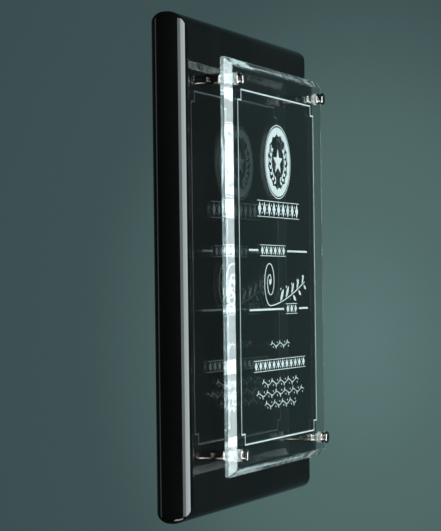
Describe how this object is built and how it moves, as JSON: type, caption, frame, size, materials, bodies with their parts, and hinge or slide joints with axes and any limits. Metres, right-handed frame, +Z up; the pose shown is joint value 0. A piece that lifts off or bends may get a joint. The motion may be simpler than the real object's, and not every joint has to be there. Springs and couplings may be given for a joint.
{
  "type": "wall award plaque",
  "caption": "Wall award plaque: a bevelled clear glass panel with an etched border, held off a glossy black rounded wood board by turned metal standoffs.",
  "frame": {"origin": "middle of the board's flat back face, which lies on the wall", "axes": "+Z up, +X to the right as the viewer faces the plaque, +Y into the wall"},
  "size_m": [0.2666, 0.0459, 0.3048],
  "materials": {
    "board_lacquer": "black high-gloss piano lacquer over wood",
    "panel_glass": "clear polished glass, etched white border on its back face",
    "standoff_metal": "polished nickel plate",
    "clear_nylon": "translucent nylon",
    "screw_steel": "zinc plated",
    "hanger_brass": "brass-plated steel"
  },
  "bodies": {
    "plaque": {"backer_board": "board_lacquer", "glass_panel": "panel_glass", "barrel_screws": "screw_steel", "hanger_screws": "hanger_brass", "hanger_plate_left": "hanger_brass", "hanger_plate_right": "hanger_brass", "barrel_upper_left": "standoff_metal", "barrel_upper_right": "standoff_metal", "barrel_lower_left": "standoff_metal", "barrel_lower_right": "standoff_metal", "rear_washer_upper_left": "clear_nylon", "rear_washer_upper_right": "clear_nylon", "rear_washer_lower_left": "clear_nylon", "rear_washer_lower_right": "clear_nylon", "sleeve_upper_left": "clear_nylon", "sleeve_upper_right": "clear_nylon", "sleeve_lower_left": "clear_nylon", "sleeve_lower_right": "clear_nylon"},
    "washer_upper_left": {"front_washer_upper_left": "clear_nylon"},
    "cap_upper_left": {"cap_upper_left": "standoff_metal"},
    "washer_upper_right": {"front_washer_upper_right": "clear_nylon"},
    "cap_upper_right": {"cap_upper_right": "standoff_metal"},
    "washer_lower_left": {"front_washer_lower_left": "clear_nylon"},
    "cap_lower_left": {"cap_lower_left": "standoff_metal"},
    "washer_lower_right": {"front_washer_lower_right": "clear_nylon"},
    "cap_lower_right": {"cap_lower_right": "standoff_metal"}
  },
  "joints": [
    {"name": "cap_upper_left_travel", "type": "slide", "parent": "plaque", "child": "washer_upper_left", "axis": [0, -1, 0], "range_m": [0, 0.0049]},
    {"name": "cap_upper_left_turn", "type": "hinge", "parent": "washer_upper_left", "child": "cap_upper_left", "pos_m": [-0.0873, -0.0415, 0.1143], "axis": [0, -1, 0], "range_deg": [0, 2520]},
    {"name": "cap_upper_right_travel", "type": "slide", "parent": "plaque", "child": "washer_upper_right", "axis": [0, -1, 0], "range_m": [0, 0.0049]},
    {"name": "cap_upper_right_turn", "type": "hinge", "parent": "washer_upper_right", "child": "cap_upper_right", "pos_m": [0.0873, -0.0415, 0.1143], "axis": [0, -1, 0], "range_deg": [0, 2520]},
    {"name": "cap_lower_left_travel", "type": "slide", "parent": "plaque", "child": "washer_lower_left", "axis": [0, -1, 0], "range_m": [0, 0.0049]},
    {"name": "cap_lower_left_turn", "type": "hinge", "parent": "washer_lower_left", "child": "cap_lower_left", "pos_m": [-0.0873, -0.0415, -0.1143], "axis": [0, -1, 0], "range_deg": [0, 2520]},
    {"name": "cap_lower_right_travel", "type": "slide", "parent": "plaque", "child": "washer_lower_right", "axis": [0, -1, 0], "range_m": [0, 0.0049]},
    {"name": "cap_lower_right_turn", "type": "hinge", "parent": "washer_lower_right", "child": "cap_lower_right", "pos_m": [0.0873, -0.0415, -0.1143], "axis": [0, -1, 0], "range_deg": [0, 2520]}
  ],
  "couplings": [
    {"joint": "cap_upper_left_turn", "follows": "cap_upper_left_travel", "rad_per_m": 8976},
    {"joint": "cap_upper_right_turn", "follows": "cap_upper_right_travel", "rad_per_m": 8976},
    {"joint": "cap_lower_left_turn", "follows": "cap_lower_left_travel", "rad_per_m": 8976},
    {"joint": "cap_lower_right_turn", "follows": "cap_lower_right_travel", "rad_per_m": 8976}
  ]
}
